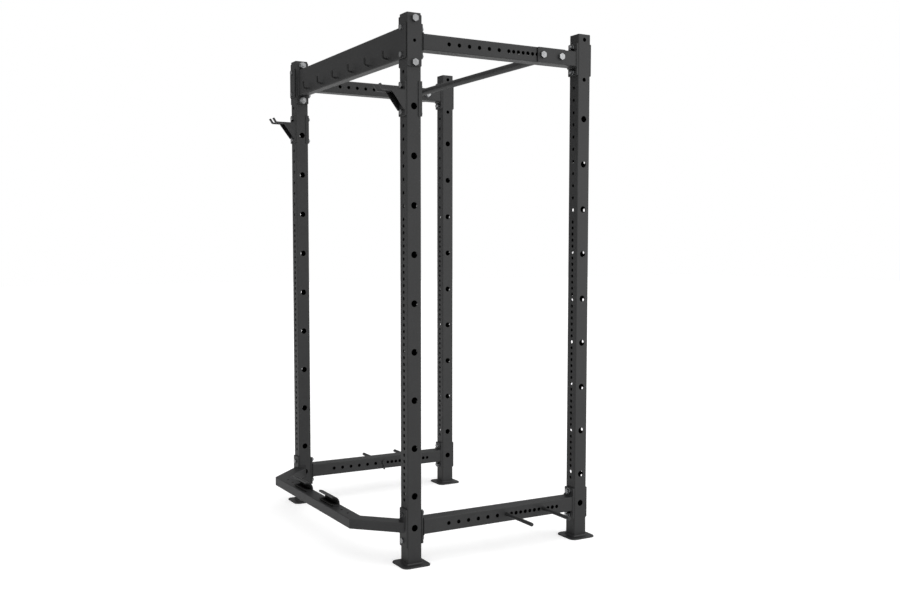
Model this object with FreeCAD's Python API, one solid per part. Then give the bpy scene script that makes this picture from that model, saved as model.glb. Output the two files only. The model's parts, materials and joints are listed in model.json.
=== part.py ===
import FreeCAD, Part
import math
import os

# Power cage: four drilled square posts, bolted side beams, a tall rear beam with storage
# hooks, a rear crossmember that steps outwards, a pull-up bar and pull-out band pegs.
# Frame: origin on the floor under the middle of the posts, +Z up, X across the width,
# Y along the depth. The open lifting side faces -Y and the storage side faces +Y.
# All sizes are millimetres.

# Overall sizes, measured over the posts
CAGE_WIDTH = 1190.0
CAGE_DEPTH = 850.0
CAGE_HEIGHT = 2095.0

# Posts and their hole rows
POST_SIZE = 60.0
POST_WALL = 3.0
POST_CORNER = 4.0
PIN_HOLE = 14.0             # rows in the faces that look along Y
FINE_PITCH = 25.0
COARSE_PITCH = 50.0
FIRST_PIN_HOLE = 254.0      # height of the lowest pin hole
LAST_FINE_HOLE = 1329.0     # above this height the rows are coarse
WIDE_HOLE = 26.0            # rows in the faces that look along X
WIDE_PITCH = 185.0
FIRST_WIDE_HOLE = 271.0
HOLE_MARGIN = 12.0          # metal left between a hole and the next plate

# Feet and caps
FOOT_SIZE = 120.0
FOOT_THICK = 6.0
FOOT_CORNER = 22.0
CAP_HEAD = 3.0
CAP_PLUG = 9.0
CAP_CLEARANCE = 0.3

# Side beams
BEAM_SIZE = 60.0
BEAM_WALL = 3.0
LOW_BEAM_HEIGHT = 147.0
TOP_BEAM_DROP = 103.0       # top of the post down to the middle of the upper beams
FLANGE_THICK = 8.0
PLATE_THICK = 6.0
PLATE_WIDTH = 56.0
PLATE_HEIGHT = 130.0
PLATE_EDGE = 0.8            # broken edge on every plate
PLATE_BOLTS = 100.0         # bolt spacing on every small plate
PLATE_CORNER = 4.0
BEAM_HOLE = 16.0
BEAM_HALF_HOLE = 15.0
BEAM_PITCH = 45.0
BEAM_HOLE_START = 121.0     # rear post face to the first beam hole
BEAM_HOLES = 12
HALF_HOLES_FROM = 6         # half-pitch holes start behind this hole
PEG_HOLES = (6, 10)         # beam holes that carry band pegs

# Rear top beam
HOOK_BEAM_HEIGHT = 120.0
HOOK_BEAM_THICK = 40.0
CLAMP_HEIGHT = 190.0
CLAMP_BOLTS = 162.0
CLAMP_SIGHT_HOLE = 13.0
OUTER_CLAMP_THICK = 5.0
HOOK_COUNT = 6
HOOK_SPACING = 165.0
HOOK_ROD = 9.0
HOOK_REACH = 22.0           # beam face to the middle of the prong
HOOK_RISE = 30.0
HOOK_BEND = 8.0
HOOK_ABOVE_EDGE = 19.0      # beam lower edge up to the hook's leg

# Rear crossmember
CROSS_WIDTH = 60.0
CROSS_HEIGHT = 40.0
CROSS_WALL = 3.0
CROSS_STEP = 134.0          # rear post face to the middle of the straight run
CROSS_CORNER_INSET = 163.0  # post middle to the corner of the middle line
CROSS_ROUND = 3.5
CORNER_PLATE_HEIGHT = 150.0
CORNER_LEG = 32.0           # how far the corner bracket runs along the post's inner face
CORNER_LEG_HEIGHT = 56.0
CROSS_HOLE = 11.0
CROSS_HOLE_PITCH = 60.0
CROSS_HOLE_INSET = 70.0     # corner of the middle line to the outermost top hole

# Bench docks on the crossmember
DOCK_OFFSET = 143.5
DOCK_WIDTH = 137.0
DOCK_BACK = 18.0            # crossmember middle line forward to the dock's back
DOCK_DEPTH = 35.0
DOCK_HEIGHT = 41.0
DOCK_PLATE = 5.0
DOCK_BEND = 30.0            # outside radius of the big upper bend
DOCK_FOOT_BEND = 8.0
DOCK_FOOT_SHORT = 5.0       # the foot ends this far behind the flange above it
DOCK_LINER = 2.5
DOCK_LINER_INSET = 1.0      # the lining stops this far inside the ends
DOCK_BOLTS = 80.0

# Bar hangers on the rear posts
HANGER_DROP = 213.0         # middle of the upper beams down to the middle of the plate
HANGER_BELOW_PLATE_TOP = 35.0
HANGER_SHELF = 7.0
HANGER_REACH = 54.0
HANGER_GUSSET = 72.0
HANGER_TOE = 4.0            # gusset depth left at its lowest point
HANGER_SHEET = 3.0
PRONG_WIDTH = 11.0
PRONG_REACH = 38.5
PRONG_RUN = 14.0
PRONG_RISE = 21.0
PRONG_BEND = 9.0
CHANNEL_SHEET = 3.0
CHANNEL_LEG = 12.0

# Pull-up bar
BAR_DIAMETER = 32.0
BAR_WALL = 2.5
BAR_PLATE_LENGTH = 135.0
BAR_PLATE_HEIGHT = 56.0
BAR_PLATE_THICK = 5.0
BAR_FIRST_HOLE = 9.5        # beam hole index of the rear bolt
BAR_SECOND_HOLE = 11.5

# Band pegs
PEG_ROD = 15.0
PEG_REACH = 180.0
PEG_HEAD = 22.0
PEG_HEAD_THICK = 7.0
PEG_HEAD_GAP = 0.5
PEG_TAB_LENGTH = 24.0
PEG_TAB_WIDTH = 8.0
PEG_TAB_THICK = 3.0
PEG_TIP_ROUND = 1.5

# Fasteners: shank, hole, flats, head height, nut height, washer size and thickness
SMALL_BOLT = dict(shank=12.0, hole=13.0, flats=19.0, head=7.5, nut=10.0, washer=24.0, washer_thick=2.5)
LARGE_BOLT = dict(shank=16.0, hole=17.0, flats=24.0, head=10.0, nut=13.0, washer=30.0, washer_thick=3.0)
DOCK_BOLT = dict(shank=10.0, hole=11.0, flats=17.0, head=6.4, washer=20.0, washer_thick=2.0)
THREAD_BEYOND_NUT = 4.0

# Places worked out from the sizes above
post_x = (CAGE_WIDTH - POST_SIZE) / 2
post_y = (CAGE_DEPTH - POST_SIZE) / 2
half_post = POST_SIZE / 2
inner_x = post_x - half_post
outer_x = post_x + half_post
inner_y = post_y - half_post
rear_face = post_y + half_post
post_top = CAGE_HEIGHT - CAP_HEAD
top_beam = CAGE_HEIGHT - TOP_BEAM_DROP
clamp_bottom = top_beam - CLAMP_HEIGHT / 2
cross_y = rear_face + CROSS_STEP
cross_corner_x = post_x - CROSS_CORNER_INSET

SIDES = (("left", -1), ("right", 1))
ENDS = (("rear", 1), ("front", -1))
LEVELS = (("lower", LOW_BEAM_HEIGHT), ("upper", top_beam))

X_AXIS = FreeCAD.Vector(1, 0, 0)
Y_AXIS = FreeCAD.Vector(0, 1, 0)
Z_AXIS = FreeCAD.Vector(0, 0, 1)


def vec(x, y, z):
    return FreeCAD.Vector(x, y, z)


def save(name, shape):
    shape.exportStep("parts/" + name + ".step")


def block(xs, ys, zs):
    """A box between two values on each axis, given in any order."""
    low = vec(min(xs), min(ys), min(zs))
    return Part.makeBox(abs(xs[1] - xs[0]), abs(ys[1] - ys[0]), abs(zs[1] - zs[0]), low)


def round_edges_along(shape, axis, radius):
    edges = [e for e in shape.Edges if abs(e.tangentAt(e.FirstParameter).dot(axis)) > 0.999]
    return shape.makeFillet(radius, edges)


def rod(start, axis, length, diameter):
    return Part.makeCylinder(diameter / 2, length, start, axis)


def drilled(shape, tools):
    return shape.cut(Part.makeCompound(tools)) if tools else shape


def hex_prism(start, axis, flats, height):
    """A hexagon with two corners along Z, or along Y when the axis is Z."""
    up = Y_AXIS if abs(axis.z) > 0.5 else Z_AXIS
    across = axis.cross(up)
    radius = flats / math.sqrt(3)
    ring = []
    for corner in range(7):
        angle = math.radians(60 * corner)
        ring.append(start + up * (radius * math.cos(angle)) + across * (radius * math.sin(angle)))
    solid = Part.Face(Part.makePolygon(ring)).extrude(axis * height)
    corner_cut = Part.makeCone(radius + height, radius - 0.09 * flats, height + 0.09 * flats, start, axis)
    return solid.common(corner_cut)


def rectangular_tube(xs, ys, zs, wall, corner, axis):
    """A tube with round corners whose open ends face along the axis."""
    outer = round_edges_along(block(xs, ys, zs), axis, corner)
    spans = []
    for low_high, part in zip((xs, ys, zs), (axis.x, axis.y, axis.z)):
        low, high = min(low_high), max(low_high)
        spans.append((low - wall, high + wall) if part else (low + wall, high - wall))
    inner = round_edges_along(block(*spans), axis, max(corner - wall, 0.5))
    return outer.cut(inner)


def heights(first, last, pitch):
    count = int(math.floor((last - first) / pitch + 1e-6)) + 1
    return [first + pitch * step for step in range(max(count, 0))]


def pin_hole_heights():
    """Fine pitch in the bench zone, coarse pitch above it, clear of the plates."""
    limit = top_beam - PLATE_HEIGHT / 2 - HOLE_MARGIN - PIN_HOLE / 2
    fine = heights(FIRST_PIN_HOLE, min(LAST_FINE_HOLE, limit), FINE_PITCH)
    coarse = heights(LAST_FINE_HOLE + COARSE_PITCH, limit, COARSE_PITCH)
    return fine + coarse


def wide_hole_heights():
    limit = clamp_bottom - HOLE_MARGIN - WIDE_HOLE / 2
    return [LOW_BEAM_HEIGHT] + heights(FIRST_WIDE_HOLE, limit, WIDE_PITCH)


def hanger_height():
    """The middle of two coarse pin holes a plate's bolt spacing apart."""
    wanted = top_beam - HANGER_DROP - PLATE_BOLTS / 2
    lower_bolt = min(pin_hole_heights(), key=lambda z: abs(z - wanted))
    return lower_bolt + PLATE_BOLTS / 2


def pair(middle, spacing):
    return (middle - spacing / 2, middle + spacing / 2)


def beam_hole_y(index):
    return inner_y - BEAM_HOLE_START - BEAM_PITCH * index


def bar_y():
    return (beam_hole_y(BAR_FIRST_HOLE) + beam_hole_y(BAR_SECOND_HOLE)) / 2


def post(sx, sy):
    x, y = sx * post_x, sy * post_y
    tube = rectangular_tube((x - half_post, x + half_post), (y - half_post, y + half_post),
                            (FOOT_THICK, post_top), POST_WALL, POST_CORNER, Z_AXIS)
    along_y = vec(x, y - POST_SIZE, 0)
    along_x = vec(x - POST_SIZE, y, 0)
    tools = [rod(along_y + Z_AXIS * z, Y_AXIS, 2 * POST_SIZE, PIN_HOLE) for z in pin_hole_heights()]
    bolted_levels = [LOW_BEAM_HEIGHT, top_beam] + ([hanger_height()] if sy > 0 else [])
    for level in bolted_levels:
        for z in pair(level, PLATE_BOLTS):
            tools.append(rod(along_y + Z_AXIS * z, Y_AXIS, 2 * POST_SIZE, SMALL_BOLT["hole"]))
    for z in wide_hole_heights():
        tools.append(rod(along_x + Z_AXIS * z, X_AXIS, 2 * POST_SIZE, WIDE_HOLE))
    for z in pair(top_beam, CLAMP_BOLTS):
        tools.append(rod(along_x + Z_AXIS * z, X_AXIS, 2 * POST_SIZE, LARGE_BOLT["hole"]))
    if sy > 0:
        outward = vec(sx * (post_x + half_post / 2), y, top_beam)
        tools.append(rod(outward, X_AXIS * sx, POST_SIZE, CLAMP_SIGHT_HOLE))
    return drilled(tube, tools)


def foot_plate(sx, sy):
    half = FOOT_SIZE / 2
    x, y = sx * post_x, sy * post_y
    plate = block((x - half, x + half), (y - half, y + half), (0, FOOT_THICK))
    plate = round_edges_along(plate, Z_AXIS, FOOT_CORNER)
    rim = [e for e in plate.Edges if min(v.Z for v in e.Vertexes) > FOOT_THICK - 0.01]
    return plate.makeChamfer(1.0, rim)


def top_cap(sx, sy):
    x, y = sx * post_x, sy * post_y
    head = block((x - half_post, x + half_post), (y - half_post, y + half_post), (post_top, CAGE_HEIGHT))
    head = round_edges_along(head, Z_AXIS, POST_CORNER)
    rim = [e for e in head.Edges if min(v.Z for v in e.Vertexes) > CAGE_HEIGHT - 0.01]
    head = head.makeFillet(CAP_HEAD * 0.6, rim)
    half_plug = half_post - POST_WALL - CAP_CLEARANCE
    plug = block((x - half_plug, x + half_plug), (y - half_plug, y + half_plug),
                 (post_top - CAP_PLUG, post_top))
    plug = round_edges_along(plug, Z_AXIS, POST_CORNER - POST_WALL + 0.5)
    hollow = half_plug - 2.5
    cup = block((x - hollow, x + hollow), (y - hollow, y + hollow), (post_top - CAP_PLUG - 1, post_top - 1))
    return head.fuse(plug).cut(cup).removeSplitter()


def side_beam(sx, level, is_upper):
    half = BEAM_SIZE / 2
    end = inner_y - FLANGE_THICK
    tube = rectangular_tube((sx * post_x - half, sx * post_x + half), (-end, end),
                            (level - half, level + half), BEAM_WALL, POST_CORNER, Y_AXIS)
    bar_holes = (BAR_FIRST_HOLE, BAR_SECOND_HOLE) if is_upper else ()
    tools = []
    for index in range(BEAM_HOLES):
        tools.append(beam_drill(sx, level, index, BEAM_HOLE))
        if index >= HALF_HOLES_FROM and index + 0.5 not in bar_holes:
            tools.append(beam_drill(sx, level, index + 0.5, BEAM_HALF_HOLE))
    for index in bar_holes:
        tools.append(beam_drill(sx, level, index, LARGE_BOLT["hole"]))
    limit = end - BEAM_HOLE
    tools = [tool for tool in tools if abs(tool.CenterOfMass.y) < limit]
    return drilled(tube, tools)


def beam_drill(sx, level, index, diameter):
    start = vec(sx * post_x - BEAM_SIZE, beam_hole_y(index), level)
    return rod(start, X_AXIS, 2 * BEAM_SIZE, diameter)


def soft_plate(xs, ys, zs, axis):
    """A plate square to the axis, with round corners and a broken edge all round both faces."""
    plate = round_edges_along(block(xs, ys, zs), axis, PLATE_CORNER)
    rims = [e for e in plate.Edges
            if abs((e.Vertexes[0].Point - e.Vertexes[-1].Point).dot(axis)) < 0.01]
    return plate.makeChamfer(PLATE_EDGE, rims)


def plate_on_y(x, y_near, thick, level, height, bolts, width, hole):
    """A flat plate across the Y direction with two bolt holes, growing from y_near by thick."""
    plate = soft_plate((x - width / 2, x + width / 2), (y_near, y_near + thick),
                       (level - height / 2, level + height / 2), Y_AXIS)
    low = min(y_near, y_near + thick) - 1
    tools = [rod(vec(x, low, z), Y_AXIS, abs(thick) + 2, hole) for z in pair(level, bolts)]
    return drilled(plate, tools)


def beam_flange(sx, sy, level):
    return plate_on_y(sx * post_x, sy * inner_y, -sy * FLANGE_THICK, level,
                      PLATE_HEIGHT, PLATE_BOLTS, POST_SIZE, SMALL_BOLT["hole"])


def backing_plate(sx, sy, level):
    return plate_on_y(sx * post_x, sy * rear_face, sy * PLATE_THICK, level,
                      PLATE_HEIGHT, PLATE_BOLTS, PLATE_WIDTH, SMALL_BOLT["hole"])


def rear_top_beam():
    end = inner_x - FLANGE_THICK
    half_thick = HOOK_BEAM_THICK / 2
    return rectangular_tube((-end, end), (post_y - half_thick, post_y + half_thick),
                            pair(top_beam, HOOK_BEAM_HEIGHT), BEAM_WALL, POST_CORNER, X_AXIS)


def clamp_plate(x_near, thick, sight_hole):
    plate = soft_plate((x_near, x_near + thick), (inner_y, rear_face), pair(top_beam, CLAMP_HEIGHT), X_AXIS)
    low = min(x_near, x_near + thick) - 1
    tools = []
    for z in pair(top_beam, CLAMP_BOLTS):
        tools.append(rod(vec(low, post_y, z), X_AXIS, abs(thick) + 2, LARGE_BOLT["hole"]))
    if sight_hole:
        tools.append(rod(vec(low, post_y, top_beam), X_AXIS, abs(thick) + 2, CLAMP_SIGHT_HOLE))
    return drilled(plate, tools)


def rear_beam_flange(sx):
    return clamp_plate(sx * inner_x, -sx * FLANGE_THICK, False)


def outer_clamp_plate(sx):
    return clamp_plate(sx * outer_x, sx * OUTER_CLAMP_THICK, True)


def storage_hook(index):
    x = (index - (HOOK_COUNT - 1) / 2) * HOOK_SPACING
    root = post_y + HOOK_BEAM_THICK / 2
    z = top_beam - HOOK_BEAM_HEIGHT / 2 + HOOK_ABOVE_EDGE
    y = root + HOOK_REACH
    bend_start = vec(x, y - HOOK_BEND, z)
    bend_end = vec(x, y, z + HOOK_BEND)
    swing = HOOK_BEND * (1 - math.sqrt(0.5))
    bend_middle = vec(x, y - swing, z + swing)
    path = Part.Wire([Part.makeLine(vec(x, root, z), bend_start),
                      Part.Arc(bend_start, bend_middle, bend_end).toShape(),
                      Part.makeLine(bend_end, vec(x, y, z + HOOK_RISE))])
    section = Part.Wire(Part.makeCircle(HOOK_ROD / 2, vec(x, root, z), Y_AXIS))
    return path.makePipeShell([section], True, False)


def cross_outline(half_width):
    """The crossmember's plan outline, a given distance each side of its middle line."""
    run = cross_y
    slope = math.tan(math.radians(22.5))
    reach = POST_SIZE + CROSS_STEP + POST_SIZE
    outer = (cross_corner_x + half_width * slope, run + half_width)
    inner = (cross_corner_x - half_width * slope, run - half_width)
    outer_end = (outer[0] + reach, outer[1] - reach)
    inner_end = (inner[0] + reach, inner[1] - reach)
    right = [inner, inner_end, outer_end, outer]
    left = [(-x, y) for x, y in reversed(right)]
    return [vec(x, y, 0) for x, y in right + left]


def cross_prism(half_width, height):
    ring = cross_outline(half_width)
    face = Part.Face(Part.makePolygon(ring + [ring[0]]))
    face.translate(vec(0, 0, LOW_BEAM_HEIGHT - height / 2))
    return face.extrude(Z_AXIS * height)


def rear_crossmember():
    half = CROSS_WIDTH / 2
    outer = cross_prism(half, CROSS_HEIGHT)
    level_edges = [e for e in outer.Edges if abs(e.tangentAt(e.FirstParameter).z) < 0.01]
    long_edges = [e for e in level_edges if e.Length > CROSS_WIDTH * 1.2]
    outer = outer.makeFillet(CROSS_ROUND, long_edges)
    tube = outer.cut(cross_prism(half - CROSS_WALL, CROSS_HEIGHT - 2 * CROSS_WALL))
    notches = []
    for sign in (-1, 1):
        notch_x = sign * (inner_x - PLATE_THICK)
        notches.append(block((notch_x, sign * CAGE_WIDTH), (0, rear_face + PLATE_THICK),
                             (0, 2 * LOW_BEAM_HEIGHT)))
        notches.append(block((0, sign * CAGE_WIDTH), (0, rear_face - CORNER_LEG + 2),
                             (0, 2 * LOW_BEAM_HEIGHT)))
    tube = drilled(tube, notches)
    top = LOW_BEAM_HEIGHT + CROSS_HEIGHT / 2
    tools = [rod(vec(x, cross_y, top - 2 * CROSS_WALL), Z_AXIS, 3 * CROSS_WALL, CROSS_HOLE)
             for x in cross_hole_places()]
    for x in dock_bolt_places():
        tools.append(rod(vec(x, dock_bolt_y(), top - 2 * CROSS_HEIGHT), Z_AXIS, 3 * CROSS_HEIGHT,
                         DOCK_BOLT["hole"]))
    return drilled(tube, tools)


def cross_hole_places():
    """Two spare top holes towards each corner."""
    outermost = cross_corner_x - CROSS_HOLE_INSET
    right = [outermost - CROSS_HOLE_PITCH, outermost]
    return [-x for x in reversed(right)] + right


def corner_bracket(sx):
    """An angle that hugs the post: a bolted leg behind it and a leg along its inner face."""
    plate = plate_on_y(sx * post_x, rear_face, PLATE_THICK, LOW_BEAM_HEIGHT,
                       CORNER_PLATE_HEIGHT, PLATE_BOLTS, PLATE_WIDTH, SMALL_BOLT["hole"])
    zs = pair(LOW_BEAM_HEIGHT, CORNER_LEG_HEIGHT)
    leg = block((sx * (inner_x - PLATE_THICK), sx * inner_x),
                (rear_face - CORNER_LEG, rear_face + PLATE_THICK), zs)
    plate_edge = post_x - PLATE_WIDTH / 2
    link = block((sx * (inner_x - PLATE_THICK), sx * (plate_edge + PLATE_CORNER)),
                 (rear_face, rear_face + PLATE_THICK), zs)
    return plate.fuse([leg, link]).removeSplitter()


def dock_floor():
    return LOW_BEAM_HEIGHT + CROSS_HEIGHT / 2


def dock_bolt_y():
    return cross_y - DOCK_BACK + DOCK_DEPTH / 2


def dock_bolt_places():
    return [x for _, sx in SIDES for x in pair(sx * DOCK_OFFSET, DOCK_BOLTS)]


def arc_edge(y, z, radius, start, end):
    """A quarter turn about (y, z) between two angles in degrees, from +Y towards +Z."""
    points = []
    for angle in (start, (start + end) / 2, end):
        turn = math.radians(angle)
        points.append(vec(0, y + radius * math.cos(turn), z + radius * math.sin(turn)))
    return Part.Arc(*points).toShape()


def claw(inset, thick, width, foot_short, flange_short):
    """A plate bent like a claw that opens towards the rear, inset from the dock's outside."""
    back = cross_y - DOCK_BACK + inset
    tip = cross_y - DOCK_BACK + DOCK_DEPTH
    foot, flange = tip - foot_short, tip - flange_short
    low = dock_floor() + inset
    high = dock_floor() + DOCK_HEIGHT - inset
    big, small = DOCK_BEND - inset, DOCK_FOOT_BEND - inset
    edges = [Part.makeLine(vec(0, foot, low), vec(0, back + small, low)),
             arc_edge(back + small, low + small, small, 270, 180)]
    if high - big > low + small + 0.01:
        edges.append(Part.makeLine(vec(0, back, low + small), vec(0, back, high - big)))
    edges.append(arc_edge(back + big, high - big, big, 180, 90))
    edges.append(Part.makeLine(vec(0, back + big, high), vec(0, flange, high)))
    edges.append(Part.makeLine(vec(0, flange, high), vec(0, flange, high - thick)))
    edges.append(Part.makeLine(vec(0, flange, high - thick), vec(0, back + big, high - thick)))
    edges.append(arc_edge(back + big, high - big, big - thick, 90, 180))
    if high - big > low + small + 0.01:
        edges.append(Part.makeLine(vec(0, back + thick, high - big), vec(0, back + thick, low + small)))
    edges.append(arc_edge(back + small, low + small, small - thick, 180, 270))
    edges.append(Part.makeLine(vec(0, back + small, low + thick), vec(0, foot, low + thick)))
    edges.append(Part.makeLine(vec(0, foot, low + thick), vec(0, foot, low)))
    face = Part.Face(Part.Wire(Part.__sortEdges__(edges)))
    face.translate(vec(-width / 2, 0, 0))
    return face.extrude(X_AXIS * width)


def bench_dock(sx):
    """A claw that catches the rear tube of a bench, bolted on from under the crossmember."""
    plate = claw(0, DOCK_PLATE, DOCK_WIDTH, DOCK_FOOT_SHORT, 0)
    plate.translate(vec(sx * DOCK_OFFSET, 0, 0))
    tools = [rod(vec(x, dock_bolt_y(), dock_floor() - 1), Z_AXIS, DOCK_PLATE + 1, DOCK_BOLT["shank"])
             for x in pair(sx * DOCK_OFFSET, DOCK_BOLTS)]
    return drilled(plate, tools)


def dock_liner(sx):
    """A dark lining that follows the inside of the claw."""
    lining = claw(DOCK_PLATE, DOCK_LINER, DOCK_WIDTH - 2 * DOCK_LINER_INSET, 0, DOCK_LINER_INSET)
    lining.translate(vec(sx * DOCK_OFFSET, 0, 0))
    return lining


def bar_hanger(sx):
    """A bolted plate with a shelf on two side cheeks, open below, and two upturned fingers."""
    x = sx * post_x
    level = hanger_height()
    plate = plate_on_y(x, rear_face, PLATE_THICK, level, PLATE_HEIGHT, PLATE_BOLTS,
                       PLATE_WIDTH, SMALL_BOLT["hole"])
    root = rear_face + PLATE_THICK
    tip = root + HANGER_REACH
    top = level + PLATE_HEIGHT / 2 - HANGER_BELOW_PLATE_TOP
    under = top - HANGER_SHELF
    toe = top - HANGER_GUSSET
    ring = [vec(0, root, top), vec(0, tip, top), vec(0, tip, under),
            vec(0, root + HANGER_TOE, toe), vec(0, root, toe)]
    body = Part.Face(Part.makePolygon(ring + [ring[0]])).extrude(X_AXIS * PLATE_WIDTH)
    hollow = block((HANGER_SHEET, PLATE_WIDTH - HANGER_SHEET), (root, tip + HANGER_SHEET), (0, under))
    body = body.cut(hollow)
    body.translate(vec(x - PLATE_WIDTH / 2, 0, 0))
    pieces = [body]
    for finger_x in pair(x, PLATE_WIDTH - PRONG_WIDTH):
        pieces.append(finger(finger_x, tip, top))
    return plate.fuse(pieces).removeSplitter()


def finger(x, tip, top):
    """A flat finger that runs on from the shelf and turns up steeply at its end."""
    thick = HANGER_SHELF
    knee = tip + PRONG_REACH
    turn = math.atan2(PRONG_RISE, PRONG_RUN)
    inner_knee = knee - thick * math.tan(turn / 2)
    end = vec(0, knee + PRONG_RUN, top - thick + PRONG_RISE)
    across = vec(0, -thick * math.sin(turn), thick * math.cos(turn))
    ring = [vec(0, tip - thick, top - thick), vec(0, knee, top - thick), end, end + across,
            vec(0, inner_knee, top), vec(0, tip - thick, top)]
    solid = Part.Face(Part.makePolygon(ring + [ring[0]])).extrude(X_AXIS * PRONG_WIDTH)
    solid = solid.makeFillet(PRONG_BEND, edges_through(solid, knee, top - thick))
    solid = solid.makeFillet(PRONG_BEND - thick, edges_through(solid, inner_knee, top))
    tips = edges_through(solid, end.y, end.z) + edges_through(solid, (end + across).y, (end + across).z)
    solid = solid.makeFillet(thick * 0.3, tips)
    solid.translate(vec(x - PRONG_WIDTH / 2, 0, 0))
    return solid


def edges_through(solid, y, z):
    """The straight edges along X that pass through a point of the YZ plane."""
    mark = vec(0, y, z)
    return [e for e in solid.Edges
            if all(abs((v.Point - mark).cross(X_AXIS).Length) < 0.01 for v in e.Vertexes)]


def hanger_channel(sx):
    """A shallow channel on the post's front face that spreads the hanger's bolts."""
    x = sx * post_x
    level = hanger_height()
    half = half_post + CHANNEL_SHEET
    zs = pair(level, PLATE_HEIGHT)
    outer = block((x - half, x + half), (inner_y - CHANNEL_SHEET, inner_y + CHANNEL_LEG), zs)
    inner = block((x - half_post, x + half_post), (inner_y, inner_y + 2 * CHANNEL_LEG),
                  (zs[0] - 1, zs[1] + 1))
    tools = [rod(vec(x, inner_y - 2 * CHANNEL_SHEET, z), Y_AXIS, 3 * CHANNEL_SHEET, SMALL_BOLT["hole"])
             for z in pair(level, PLATE_BOLTS)]
    return drilled(outer.cut(inner), tools)


def pull_up_bar():
    end = inner_x_of_beam() - BAR_PLATE_THICK
    start = vec(-end, bar_y(), top_beam)
    outer = rod(start, X_AXIS, 2 * end, BAR_DIAMETER)
    return outer.cut(rod(start, X_AXIS, 2 * end, BAR_DIAMETER - 2 * BAR_WALL))


def inner_x_of_beam():
    return post_x - BEAM_SIZE / 2


def outer_x_of_beam():
    return post_x + BEAM_SIZE / 2


def bar_plate(x_near, thick, height):
    half = BAR_PLATE_LENGTH / 2
    plate = soft_plate((x_near, x_near + thick), (bar_y() - half, bar_y() + half),
                       pair(top_beam, height), X_AXIS)
    low = min(x_near, x_near + thick) - 1
    tools = [rod(vec(low, beam_hole_y(index), top_beam), X_AXIS, abs(thick) + 2, LARGE_BOLT["hole"])
             for index in (BAR_FIRST_HOLE, BAR_SECOND_HOLE)]
    return drilled(plate, tools)


def bar_end_plate(sx):
    return bar_plate(sx * inner_x_of_beam(), -sx * BAR_PLATE_THICK, BAR_PLATE_HEIGHT)


def bar_outer_plate(sx):
    return bar_plate(sx * outer_x_of_beam(), sx * PLATE_THICK, BEAM_SIZE)


def band_peg(sx, index):
    """A rod through the lower beam with a head and a locking tab on the inside."""
    y = beam_hole_y(index)
    z = LOW_BEAM_HEIGHT
    inside = inner_x_of_beam() - PEG_HEAD_GAP
    tip = outer_x_of_beam() + PEG_REACH
    outward = X_AXIS * sx
    shank = rod(vec(sx * inside, y, z), outward, tip - inside, PEG_ROD)
    tip_edge = [e for e in shank.Edges if abs(e.CenterOfMass.x - sx * tip) < 0.01]
    shank = shank.makeFillet(PEG_TIP_ROUND, tip_edge)
    head = rod(vec(sx * (inside - PEG_HEAD_THICK), y, z), outward, PEG_HEAD_THICK, PEG_HEAD)
    rim = [e for e in head.Edges if len(e.Vertexes) == 1]
    head = head.makeChamfer(1.0, rim)
    tab_out = inside - 1.5
    tab = block((sx * (tab_out - PEG_TAB_THICK), sx * tab_out),
                (y - PEG_TAB_WIDTH / 2, y + PEG_TAB_WIDTH / 2), (z - PEG_HEAD / 2 - PEG_TAB_LENGTH, z))
    tab = round_edges_along(tab, X_AXIS, PEG_TAB_WIDTH * 0.45)
    return shank.fuse([head, tab]).removeSplitter()


def bolt_set(point, axis, grip, size):
    """Bolt, washer and nut that clamp a grip; the point is the seat of the bolt's head."""
    washer_thick = size["washer_thick"]
    length = grip + washer_thick + size["nut"] + THREAD_BEYOND_NUT
    shank = rod(point, axis, length, size["shank"])
    end = [e for e in shank.Edges if len(e.Vertexes) == 1
           and (e.CenterOfMass - point).dot(axis) > length / 2]
    shank = shank.makeChamfer(1.0, end)
    head = hex_prism(point, axis * -1, size["flats"], size["head"])
    bolt = head.fuse(shank).removeSplitter()
    far = point + axis * grip
    nut = hex_prism(far + axis * washer_thick, axis, size["flats"], size["nut"])
    nut = nut.cut(rod(far, axis, length, size["shank"]))
    return bolt, washer(far, axis, size), nut


def washer(point, axis, size):
    disc = rod(point, axis, size["washer_thick"], size["washer"])
    return disc.cut(rod(point, axis, size["washer_thick"], size["hole"]))


def flange_bolt_places():
    """Every small bolt that runs along Y: head outside, nut inside the cage."""
    places = []
    for _, sx in SIDES:
        for _, sy in ENDS:
            for _, level in LEVELS:
                for z in pair(level, PLATE_BOLTS):
                    start = vec(sx * post_x, sy * (rear_face + PLATE_THICK), z)
                    places.append((start, Y_AXIS * -sy, PLATE_THICK + POST_SIZE + FLANGE_THICK))
    return places


def hanger_bolt_places():
    places = []
    for _, sx in SIDES:
        for z in pair(hanger_height(), PLATE_BOLTS):
            start = vec(sx * post_x, rear_face + PLATE_THICK, z)
            places.append((start, Y_AXIS * -1, PLATE_THICK + POST_SIZE + CHANNEL_SHEET))
    return places


def clamp_bolt_places():
    places = []
    for _, sx in SIDES:
        for z in pair(top_beam, CLAMP_BOLTS):
            start = vec(sx * (outer_x + OUTER_CLAMP_THICK), post_y, z)
            places.append((start, X_AXIS * -sx, OUTER_CLAMP_THICK + POST_SIZE + FLANGE_THICK))
    return places


def bar_bolt_places():
    places = []
    for _, sx in SIDES:
        for index in (BAR_FIRST_HOLE, BAR_SECOND_HOLE):
            start = vec(sx * (outer_x_of_beam() + PLATE_THICK), beam_hole_y(index), top_beam)
            places.append((start, X_AXIS * -sx, PLATE_THICK + BEAM_SIZE + BAR_PLATE_THICK))
    return places


def save_fasteners(name, places, size):
    bolts, washers, nuts = zip(*[bolt_set(start, axis, grip, size) for start, axis, grip in places])
    save(name + "_bolts", Part.makeCompound(bolts))
    save(name + "_washers", Part.makeCompound(washers))
    save(name + "_nuts", Part.makeCompound(nuts))


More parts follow.
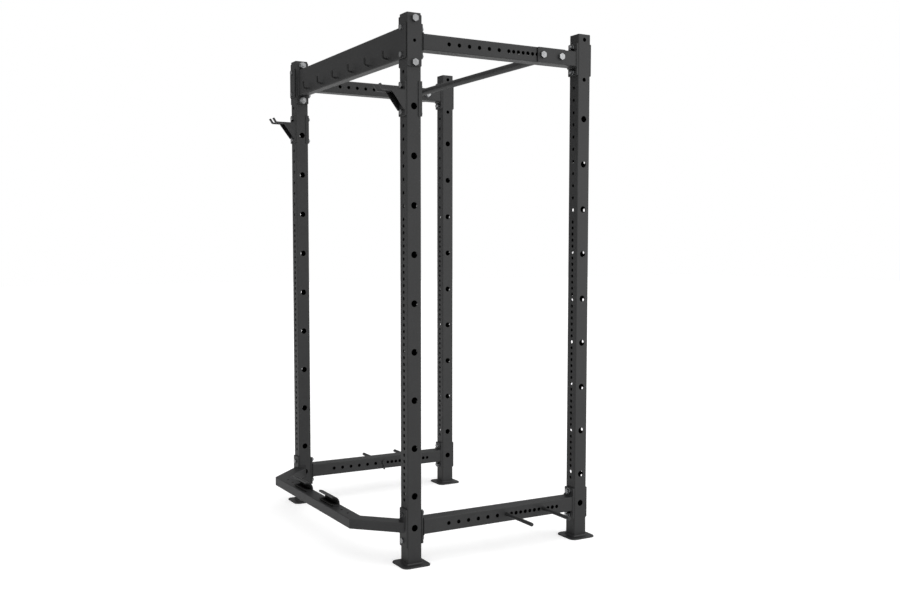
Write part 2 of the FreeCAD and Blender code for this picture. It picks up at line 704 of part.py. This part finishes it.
def dock_bolts():
    """Bolts that come up through the crossmember into the docks' feet, each with its washer."""
    pieces = []
    under = dock_floor() - CROSS_HEIGHT
    thick = DOCK_BOLT["washer_thick"]
    for x in dock_bolt_places():
        seat = vec(x, dock_bolt_y(), under - thick)
        head = hex_prism(seat, Z_AXIS * -1, DOCK_BOLT["flats"], DOCK_BOLT["head"])
        shank = rod(seat, Z_AXIS, thick + CROSS_HEIGHT + DOCK_PLATE, DOCK_BOLT["shank"])
        pieces.append(head.fuse(shank).removeSplitter())
        pieces.append(washer(seat, Z_AXIS, DOCK_BOLT))
    return Part.makeCompound(pieces)


def save_posts():
    caps = []
    for end, sy in ENDS:
        for side, sx in SIDES:
            save("post_" + end + "_" + side, post(sx, sy))
            save("foot_plate_" + end + "_" + side, foot_plate(sx, sy))
            caps.append(top_cap(sx, sy))
    save("top_caps", Part.makeCompound(caps))


def save_side_beams():
    for level_name, level in LEVELS:
        for side, sx in SIDES:
            is_upper = level_name == "upper"
            save(level_name + "_beam_" + side, side_beam(sx, level, is_upper))
            for end, sy in ENDS:
                save(level_name + "_flange_" + end + "_" + side, beam_flange(sx, sy, level))
                if end == "front" or is_upper:
                    save(level_name + "_backing_" + end + "_" + side, backing_plate(sx, sy, level))


def save_rear():
    save("rear_top_beam", rear_top_beam())
    save("storage_hooks", Part.makeCompound([storage_hook(index) for index in range(HOOK_COUNT)]))
    save("rear_crossmember", rear_crossmember())
    for side, sx in SIDES:
        save("rear_beam_flange_" + side, rear_beam_flange(sx))
        save("outer_clamp_plate_" + side, outer_clamp_plate(sx))
        save("corner_bracket_" + side, corner_bracket(sx))
        save("bench_dock_" + side, bench_dock(sx))
        save("dock_liner_" + side, dock_liner(sx))
        save("bar_hanger_" + side, bar_hanger(sx))
        save("hanger_channel_" + side, hanger_channel(sx))
    save("dock_bolts", dock_bolts())


def save_pull_up_bar():
    save("pull_up_bar", pull_up_bar())
    for side, sx in SIDES:
        save("bar_end_plate_" + side, bar_end_plate(sx))
        save("bar_outer_plate_" + side, bar_outer_plate(sx))


def save_band_pegs():
    for side, sx in SIDES:
        for end, index in zip(("rear", "front"), PEG_HOLES):
            save("band_peg_" + end + "_" + side, band_peg(sx, index))


def main():
    os.makedirs("parts", exist_ok=True)
    save_posts()
    save_side_beams()
    save_rear()
    save_pull_up_bar()
    save_band_pegs()
    save_fasteners("small", flange_bolt_places() + hanger_bolt_places(), SMALL_BOLT)
    save_fasteners("large", clamp_bolt_places() + bar_bolt_places(), LARGE_BOLT)


main()
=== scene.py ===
import json
import math
import bpy
from mathutils import Matrix, Vector


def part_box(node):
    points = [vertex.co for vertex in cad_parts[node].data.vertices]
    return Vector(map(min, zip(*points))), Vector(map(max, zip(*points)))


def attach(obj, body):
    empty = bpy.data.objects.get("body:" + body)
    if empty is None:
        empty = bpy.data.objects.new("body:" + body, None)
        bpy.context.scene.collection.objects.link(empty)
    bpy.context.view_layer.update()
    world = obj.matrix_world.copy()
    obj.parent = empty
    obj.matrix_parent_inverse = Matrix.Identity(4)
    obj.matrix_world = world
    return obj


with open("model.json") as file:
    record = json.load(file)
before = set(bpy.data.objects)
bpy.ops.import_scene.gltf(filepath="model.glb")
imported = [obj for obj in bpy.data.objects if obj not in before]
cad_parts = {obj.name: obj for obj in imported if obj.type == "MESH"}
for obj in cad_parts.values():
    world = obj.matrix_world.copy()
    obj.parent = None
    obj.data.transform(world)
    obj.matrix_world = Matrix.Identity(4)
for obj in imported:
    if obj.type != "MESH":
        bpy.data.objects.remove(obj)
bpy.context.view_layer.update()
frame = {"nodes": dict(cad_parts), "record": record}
nodes = frame["nodes"]


# ---------------------------------------------------------------- shader maths

BLACK = (0.0, 0.0, 0.0)
WHITE = (1.0, 1.0, 1.0)
PAINTED_SHADE_BLACK = (0.0012, 0.0012, 0.0012)       # painted shade: the black that the coat is painted down to deep inside tubes and cavities


class Value:
    """A shader socket that takes part in Python sums, and adds the Math nodes they need."""

    def __init__(self, board, socket):
        self.board = board
        self.socket = socket

    def _with(self, operation, first, second):
        return self.board.add("ShaderNodeMath", {"operation": operation}, {0: first, 1: second})

    def __add__(self, other):
        return self._with("ADD", self, other)

    def __radd__(self, other):
        return self._with("ADD", other, self)

    def __sub__(self, other):
        return self._with("SUBTRACT", self, other)

    def __rsub__(self, other):
        return self._with("SUBTRACT", other, self)

    def __mul__(self, other):
        return self._with("MULTIPLY", self, other)

    def __rmul__(self, other):
        return self._with("MULTIPLY", other, self)


class Board:
    """The node tree of one finish, or of the room's light."""

    def __init__(self, owner, coordinates):
        owner.use_nodes = True
        self.owner = owner
        self.tree = owner.node_tree
        self.tree.nodes.clear()
        self.place = self.add("ShaderNodeTexCoord", {}, {}, coordinates)

    def add(self, kind, settings, inputs, output=0):
        """Adds one node: its settings first, then the values or links of its sockets."""
        node = self.tree.nodes.new(kind)
        for key, value in settings.items():
            setattr(node, key, value)
        for key, value in inputs.items():
            socket = node.inputs[key]
            if isinstance(value, Value):
                self.tree.links.new(value.socket, socket)
            elif socket.type == "RGBA":
                socket.default_value = (*value, 1.0)
            else:
                socket.default_value = value
        return None if output is None else Value(self, node.outputs[output])

    def noise(self, scale, detail, rough):
        return self.add("ShaderNodeTexNoise", {},
                        {"Vector": self.place, "Scale": scale, "Detail": detail, "Roughness": rough})

    def limits(self, value, low, high):
        """0 up to the low limit, 1 from the high one, and even between them."""
        return self.add("ShaderNodeMapRange", {"clamp": True},
                        {"Value": value, "From Min": low, "From Max": high})

    def blend(self, share, first, second):
        """A colour between two others."""
        return self.add("ShaderNodeMix", {"data_type": "RGBA"}, {0: share, 6: first, 7: second}, 2)

    def mottle(self, pattern, dark, light):
        """A colour that drifts between two tones as a pattern does."""
        return self.blend(self.limits(pattern, 0.3, 0.7), dark, light)

    def bump(self, height, strength, distance):
        return self.add("ShaderNodeBump", {},
                        {"Height": height, "Strength": strength, "Distance": distance})

    def painted_shade_mask(self, reach, closed, clear):
        """How open a place is, from ambient occlusion: 0 deep inside a tube or cavity, 1 on an outer
        face; the mask for painted shade.
        """
        reached = self.add("ShaderNodeAmbientOcclusion", {"samples": 12}, {"Distance": reach}, "AO")
        return self.limits(reached, closed, clear)

    def surface(self, colour, roughness, normal=None, **others):
        """The shader itself; others are its further sockets, such as Specular_IOR_Level=0.5."""
        inputs = {"Base Color": colour, "Roughness": roughness}
        if normal is not None:
            inputs["Normal"] = normal
        inputs.update({key.replace("_", " "): value for key, value in others.items()})
        return self.add("ShaderNodeBsdfPrincipled", {}, inputs)

    def finish(self, surface, painted_shade_mask=None):
        """Closes the finish; where a place is shut in, painted shade takes it down to black."""
        if painted_shade_mask is not None:
            # Painted shade: occluded corners, recesses and tube insides are mixed over to a black
            # surface.
            dark = self.surface(PAINTED_SHADE_BLACK, 1.0, Specular_IOR_Level=0.0)
            surface = self.add("ShaderNodeMixShader", {}, {0: painted_shade_mask, 1: dark, 2: surface})
        self.add("ShaderNodeOutputMaterial", {}, {"Surface": surface}, None)
        return self.owner


def new_finish(name):
    """The empty board of a finish whose patterns lie in the object's own space."""
    return Board(bpy.data.materials.new(name), "Object")


# ---------------------------------------------------------------- finishes

COAT_DARK, COAT_LIGHT = (0.011, 0.0112, 0.0116), (0.017, 0.0173, 0.018)
COAT_SPECK = (0.05, 0.05, 0.052)
# Painted shade: the hooks' tones are a darker copy of the coat, so they read as shaded.
HOOK_SHADE_DARK, HOOK_SHADE_LIGHT = (0.004, 0.004, 0.0042), (0.007, 0.007, 0.0073)
WELD_DARK, WELD_LIGHT = (0.010, 0.0102, 0.0106), (0.017, 0.0173, 0.018)
ZINC_DARK, ZINC_LIGHT = (0.30, 0.305, 0.31), (0.42, 0.425, 0.43)
CAP_DARK, CAP_LIGHT = (0.012, 0.012, 0.013), (0.02, 0.02, 0.021)
RUBBER_DARK, RUBBER_LIGHT = (0.008, 0.008, 0.008), (0.016, 0.016, 0.016)


def powder_coat(name, dark=COAT_DARK, light=COAT_LIGHT):
    """Baked black powder: cloudy in tone, pebbled like orange peel, with a few pale specks."""
    board = new_finish(name)
    clouds = board.noise(5.0, detail=4.0, rough=0.55)
    peel = board.noise(520.0, detail=3.0, rough=0.6)
    grain = board.noise(1900.0, detail=2.0, rough=0.7)
    specks = board.limits(board.noise(240.0, detail=1.0, rough=0.5), 0.66, 0.74)
    tone = board.blend(specks * 0.35, board.mottle(clouds, dark, light), COAT_SPECK)
    roughness = 0.40 + clouds * 0.10 + grain * 0.06
    pebbles = board.bump(peel * 0.7 + grain * 0.3, strength=0.35, distance=0.00035)
    # Painted shade: corners, crevices and tube insides are painted black through the occlusion mask.
    return board.finish(board.surface(tone, roughness, pebbles),
                        board.painted_shade_mask(reach=0.13, closed=0.20, clear=0.46))


def zinc_plate(name):
    """Bright plated steel with a faint cloudiness."""
    board = new_finish(name)
    clouds = board.noise(60.0, detail=3.0, rough=0.6)
    fine = board.bump(board.noise(900.0, detail=2.0, rough=0.6), strength=0.25, distance=0.0002)
    tone = board.mottle(clouds, ZINC_DARK, ZINC_LIGHT)
    metal = board.surface(tone, 0.14 + clouds * 0.12, fine, Metallic=1.0)
    # Painted shade: the plating is painted black where it sits close against other parts.
    return board.finish(metal, board.painted_shade_mask(reach=0.03, closed=0.05, clear=0.40))


def cap_plastic(name):
    """Moulded plastic with a fine grain."""
    board = new_finish(name)
    grain = board.bump(board.noise(1400.0, detail=2.0, rough=0.6), strength=0.5, distance=0.0003)
    clouds = board.noise(30.0, detail=3.0, rough=0.5)
    tone = board.mottle(clouds, CAP_DARK, CAP_LIGHT)
    return board.finish(board.surface(tone, 0.5 + clouds * 0.12, grain))


def pad_rubber(name):
    """Dull rubber sheet."""
    board = new_finish(name)
    grain = board.noise(800.0, detail=3.0, rough=0.6)
    tone = board.mottle(grain, RUBBER_DARK, RUBBER_LIGHT)
    rubber = board.surface(tone, 0.75 + grain * 0.1, board.bump(grain, strength=0.5, distance=0.0004))
    # Painted shade: the rubber is painted black where it is shut in by other parts.
    return board.finish(rubber, board.painted_shade_mask(reach=0.06, closed=0.25, clear=0.75))


def weld_coat(name):
    """The same coat over the ripples of a weld."""
    board = new_finish(name)
    ripples = board.add("ShaderNodeTexWave", {"wave_type": "RINGS", "rings_direction": "SPHERICAL"},
                        {"Vector": board.place, "Scale": 90.0, "Distortion": 2.0, "Detail": 1.0}, "Fac")
    grain = board.noise(700.0, detail=3.0, rough=0.6)
    tone = board.mottle(grain, WELD_DARK, WELD_LIGHT)
    waves = board.bump(ripples * 0.8 + grain * 0.2, strength=0.5, distance=0.0006)
    # Painted shade: the bead is painted black in the corner between tube and plate.
    return board.finish(board.surface(tone, 0.42 + grain * 0.12, waves),
                        board.painted_shade_mask(reach=0.02, closed=0.12, clear=0.40))


# By the record's material slots, then the two that it has no slot for.
FINISHES = {
    "powder_coat": powder_coat("powder_coat"),
    "zinc": zinc_plate("zinc_plate"),
    "cap_plastic": cap_plastic("cap_plastic"),
    "pad_rubber": pad_rubber("pad_rubber"),
    "weld": weld_coat("weld_coat"),
    # Painted shade: a darker copy of the powder coat for the hooks.
    "hook": powder_coat("hook_coat_painted_shade", HOOK_SHADE_DARK, HOOK_SHADE_LIGHT),
}


def put_finish(piece, material):
    piece.data.materials.clear()
    piece.data.materials.append(material)


for part in frame["record"]["subparts"]:
    put_finish(nodes[part["node"]], FINISHES[part["material_slot"]])
# The hooks take the darker copy of the coat, which is painted shade.
put_finish(nodes["storage_hooks"], FINISHES["hook"])


# ---------------------------------------------------------------- weld beads

BEAD_LEG = 0.0045                   # up the tube, and out over the plate
BEAD_SINK = 0.0004                  # how far a bead reaches under the skin of what it joins
BEAD_CROWN = BEAD_LEG * 0.2         # flat left on a bead's top
BEAD_ROUNDING = BEAD_LEG * 0.3
HOOK_BEAD_LEG = 0.0025
HOOK_COUNT = 6
HOOK_ROD = 0.009
RING_THICKNESS = 0.75               # a round bead's thickness, in legs
RING_STEPS, RING_SIDES = 40, 10
RING_HEIGHT = 0.85                  # flattening of the whole ring
RING_SOLE = (1.03, 1.03, 0.4)       # spread and flattening of its underside
FLAT = 0.9                          # least upright part of a level face's normal
MERGE_DISTANCE = 0.00002
SMOOTH_ANGLE = math.radians(40)


def edit_mesh(piece):
    bpy.context.view_layer.objects.active = piece
    piece.select_set(True)
    bpy.ops.object.mode_set(mode="EDIT")


def pick(piece, test, kind="FACE"):
    """Selects the faces whose middle and normal pass a test, or the edges whose two ends do."""
    bpy.ops.mesh.select_mode(type=kind)
    bpy.ops.mesh.select_all(action="DESELECT")
    bpy.ops.object.mode_set(mode="OBJECT")
    mesh = piece.data
    if kind == "FACE":
        for face in mesh.polygons:
            face.select = test(face.center, face.normal)
    else:
        for edge in mesh.edges:
            edge.select = test(*(mesh.vertices[i].co for i in edge.vertices))
    bpy.ops.object.mode_set(mode="EDIT")


def turned(direction, axis="Z"):
    """The turn that points an object's own axis in a direction."""
    return Vector(direction).to_track_quat(axis, "Y").to_euler()


def settle(bead, name, centre, direction, rounding=0.0):
    """Takes a shaped bead to its place, fixes it in its mesh and gives it its finish."""
    bpy.ops.object.mode_set(mode="OBJECT")
    bead.rotation_euler = turned(direction)
    bead.location = centre
    if rounding:
        rounder = bead.modifiers.new("rounding", "BEVEL")
        rounder.width = rounding
        rounder.segments = 3
        rounder.limit_method = "ANGLE"
        bpy.ops.object.modifier_apply(modifier=rounder.name)
    bpy.ops.object.transform_apply(location=True, rotation=True, scale=True)
    bpy.ops.object.mode_set(mode="EDIT")
    bpy.ops.mesh.select_all(action="SELECT")
    bpy.ops.mesh.remove_doubles(threshold=MERGE_DISTANCE)
    bpy.ops.mesh.normals_make_consistent(inside=False)
    bpy.ops.object.mode_set(mode="OBJECT")
    bpy.ops.object.shade_smooth_by_angle(angle=SMOOTH_ANGLE)
    bead.name = name
    put_finish(bead, FINISHES["weld"])
    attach(bead, "cage")


def square_bead(name, centre, direction, wide, deep):
    """A fillet weld around a square tube; it grows from the plate along the direction."""
    foot_wide, foot_deep = wide + 2 * BEAD_LEG, deep + 2 * BEAD_LEG
    top_wide, top_deep = wide + 2 * BEAD_CROWN, deep + 2 * BEAD_CROWN
    bpy.ops.object.select_all(action="DESELECT")
    bpy.ops.mesh.primitive_cube_add(size=1.0, location=(0, 0, BEAD_LEG / 2))
    bead = bpy.context.object
    bead.scale = (foot_wide, foot_deep, BEAD_LEG)
    bpy.ops.object.transform_apply(location=True, scale=True)
    edit_mesh(bead)

    # The top narrows to the crown, then top and foot are opened for the tube.
    pick(bead, lambda place, normal: normal.z > FLAT)
    bpy.ops.transform.resize(value=(top_wide / foot_wide, top_deep / foot_deep, 1))
    bpy.ops.mesh.inset(thickness=BEAD_CROWN + BEAD_SINK, depth=0)
    pick(bead, lambda place, normal: normal.z < -FLAT)
    bpy.ops.mesh.inset(thickness=BEAD_LEG + BEAD_SINK, depth=0)
    near = min(wide, deep) / 8
    pick(bead, lambda place, normal: abs(normal.z) > FLAT and place.xy.length < near)
    bpy.ops.mesh.delete(type="FACE")

    # The two openings are joined by the bead's inner wall.
    def around_opening(a, b):
        return (max(abs(a.x), abs(b.x)) < wide / 2 and max(abs(a.y), abs(b.y)) < deep / 2
                and abs(a.z - b.z) < BEAD_LEG / 2)

    pick(bead, around_opening, "EDGE")
    bpy.ops.mesh.bridge_edge_loops()
    settle(bead, name, centre, direction, BEAD_ROUNDING)


def ring_bead(name, centre, direction, radius, leg=BEAD_LEG):
    """A round fillet weld where a rod or a round tube stands on a plate."""
    bpy.ops.object.select_all(action="DESELECT")
    bpy.ops.mesh.primitive_torus_add(major_radius=radius, minor_radius=leg * RING_THICKNESS,
                                     major_segments=RING_STEPS, minor_segments=RING_SIDES,
                                     location=(0, 0, 0))
    bead = bpy.context.object
    edit_mesh(bead)
    bpy.ops.mesh.select_all(action="SELECT")
    bpy.ops.transform.resize(value=(1, 1, RING_HEIGHT))
    pick(bead, lambda place, normal: place.z < -0.0001)
    bpy.ops.transform.resize(value=RING_SOLE)
    settle(bead, name, centre, direction)


def extent(node):
    """Lowest corner, highest corner and middle of a CAD node."""
    low, high = (Vector(corner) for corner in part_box(node))
    return low, high, (low + high) / 2


def beam_beads():
    """Beads where the side beams meet their bolted flanges."""
    for level in ("lower", "upper"):
        for side in ("left", "right"):
            low, high, middle = extent("%s_beam_%s" % (level, side))
            for end, y, way in (("rear", high.y, -1), ("front", low.y, 1)):
                square_bead("weld_%s_beam_%s_%s" % (level, end, side), (middle.x, y, middle.z),
                            (0, way, 0), high.x - low.x, high.z - low.z)


def post_beads():
    """Beads where the posts stand on their foot plates."""
    for end in ("rear", "front"):
        for side in ("left", "right"):
            low, high, middle = extent("post_%s_%s" % (end, side))
            square_bead("weld_foot_%s_%s" % (end, side), (middle.x, middle.y, low.z),
                        (0, 0, 1), high.x - low.x, high.y - low.y)


def rear_beam_beads():
    """Beads where the rear top beam meets its end flanges."""
    low, high, middle = extent("rear_top_beam")
    for side, x, way in (("left", low.x, 1), ("right", high.x, -1)):
        square_bead("weld_rear_beam_" + side, (x, middle.y, middle.z), (way, 0, 0),
                    high.y - low.y, high.z - low.z)


def bar_beads():
    """Beads where the pull-up bar meets its end plates."""
    low, high, middle = extent("pull_up_bar")
    for side, x, way in (("left", low.x, 1), ("right", high.x, -1)):
        ring_bead("weld_bar_" + side, (x, middle.y, middle.z), (way, 0, 0), (high.z - low.z) / 2)


def hook_beads():
    """Small beads at the roots of the storage hooks."""
    low, high, _ = extent("storage_hooks")
    first, last = low.x + HOOK_ROD / 2, high.x - HOOK_ROD / 2
    for index in range(HOOK_COUNT):
        x = first + (last - first) * index / (HOOK_COUNT - 1)
        ring_bead("weld_hook_%d" % (index + 1), (x, low.y, low.z + HOOK_ROD / 2), (0, 1, 0),
                  HOOK_ROD / 2, HOOK_BEAD_LEG)


beam_beads()
post_beads()
rear_beam_beads()
bar_beads()
hook_beads()


# ---------------------------------------------------------------- floor, light and camera

FLOOR_SIZE = 60.0
FLOOR_GREY, FLOOR_PALE = (0.80, 0.80, 0.80), (0.82, 0.82, 0.82)
FLOOR_GLOW = 0.42

DIM_SIDE = Vector((1.0, 0.35, 0.15))
DIM_FROM, DIM_TO = -0.35, 0.75      # how far round to that side the light starts and stops falling
ROOM_BRIGHT, ROOM_DIM = 1.02, 0.31

SUN_WAY = (0.25, -0.1, -1.0)
SUN_SPREAD = math.radians(80)
SUN_STRENGTH = 0.8

PANEL_PLACE = Vector((-3.6, -3.4, 1.3))
PANEL_AIM = Vector((0.0, -0.4, 1.1))
PANEL_WIDTH, PANEL_HEIGHT = 1.8, 3.0
PANEL_BRIGHTNESS = 1.5

CAMERA_PLACE = Vector((-3.962275, 2.171223, 1.221037))
CAMERA_YAW = math.radians(-29.314)
CAMERA_PITCH = math.radians(3.840)
CAMERA_SENSOR = 36.0
CAMERA_LENS = CAMERA_SENSOR * 1006.922 / 900
CAMERA_SHIFT = (0.01022, 0.01743)
CAMERA_REACH = 200.0


def studio_floor():
    """Pale paper that glows a little to the eye, and lights nothing."""
    bpy.ops.object.select_all(action="DESELECT")
    bpy.ops.mesh.primitive_plane_add(size=FLOOR_SIZE, location=(0, 0, 0))
    floor = bpy.context.object
    floor.name = "studio_floor"
    board = new_finish("floor_paper")
    tone = board.mottle(board.noise(0.4, detail=2.0, rough=0.5), FLOOR_GREY, FLOOR_PALE)
    seen = board.add("ShaderNodeLightPath", {}, {}, "Is Camera Ray")
    paper = board.surface(tone, 0.9, Specular_IOR_Level=0.1,
                          Emission_Color=board.blend(seen, BLACK, WHITE), Emission_Strength=FLOOR_GLOW)
    put_finish(floor, board.finish(paper))


def studio_room():
    """Even light from all round that falls off towards DIM_SIDE; the eye sees plain white."""
    world = bpy.data.worlds.new("studio_room")
    bpy.context.scene.world = world
    board = Board(world, "Generated")
    side = board.add("ShaderNodeVectorMath", {"operation": "DOT_PRODUCT"},
                     {0: board.place, 1: DIM_SIDE.normalized()}, "Value")
    light = board.add("ShaderNodeMapRange", {"interpolation_type": "SMOOTHSTEP"},
                      {"Value": side, "From Min": DIM_FROM, "From Max": DIM_TO,
                       "To Min": ROOM_BRIGHT, "To Max": ROOM_DIM})
    seen = board.add("ShaderNodeLightPath", {}, {}, "Is Camera Ray")
    shade = board.add("ShaderNodeBackground", {}, {"Color": WHITE, "Strength": light * (1 - seen) + seen})
    board.add("ShaderNodeOutputWorld", {}, {"Surface": shade}, None)


def put_up(name, data):
    """Stands a lamp or a camera in the scene."""
    thing = bpy.data.objects.new(name, data)
    bpy.context.scene.collection.objects.link(thing)
    return thing


def overhead_sun():
    """Broad soft light from above."""
    data = bpy.data.lights.new("overhead", "SUN")
    data.angle = SUN_SPREAD
    data.energy = SUN_STRENGTH
    put_up("overhead", data).rotation_euler = turned(SUN_WAY, "-Z")


def front_panel():
    """A lit panel that faces the front posts, itself out of sight."""
    data = bpy.data.lights.new("front_panel", "AREA")
    data.shape = "RECTANGLE"
    data.size, data.size_y = PANEL_WIDTH, PANEL_HEIGHT
    data.energy = PANEL_BRIGHTNESS * math.pi * PANEL_WIDTH * PANEL_HEIGHT
    panel = put_up("front_panel", data)
    panel.location = PANEL_PLACE
    panel.rotation_euler = turned(PANEL_AIM - PANEL_PLACE, "-Z")
    panel.visible_camera = False


def studio_camera():
    data = bpy.data.cameras.new("camera")
    data.sensor_width = CAMERA_SENSOR
    data.lens = CAMERA_LENS
    data.shift_x, data.shift_y = CAMERA_SHIFT
    data.clip_end = CAMERA_REACH
    camera = put_up("camera", data)
    level = math.cos(CAMERA_PITCH)
    ahead = Vector((level * math.cos(CAMERA_YAW), level * math.sin(CAMERA_YAW), -math.sin(CAMERA_PITCH)))
    right = ahead.cross(Vector((0, 0, 1))).normalized()
    turn = Matrix((right, right.cross(ahead), -ahead)).transposed()
    camera.matrix_world = Matrix.Translation(CAMERA_PLACE) @ turn.to_4x4()
    bpy.context.scene.camera = camera


studio_floor()
studio_room()
overhead_sun()
front_panel()
studio_camera()
bpy.context.scene.view_settings.view_transform = "Standard"
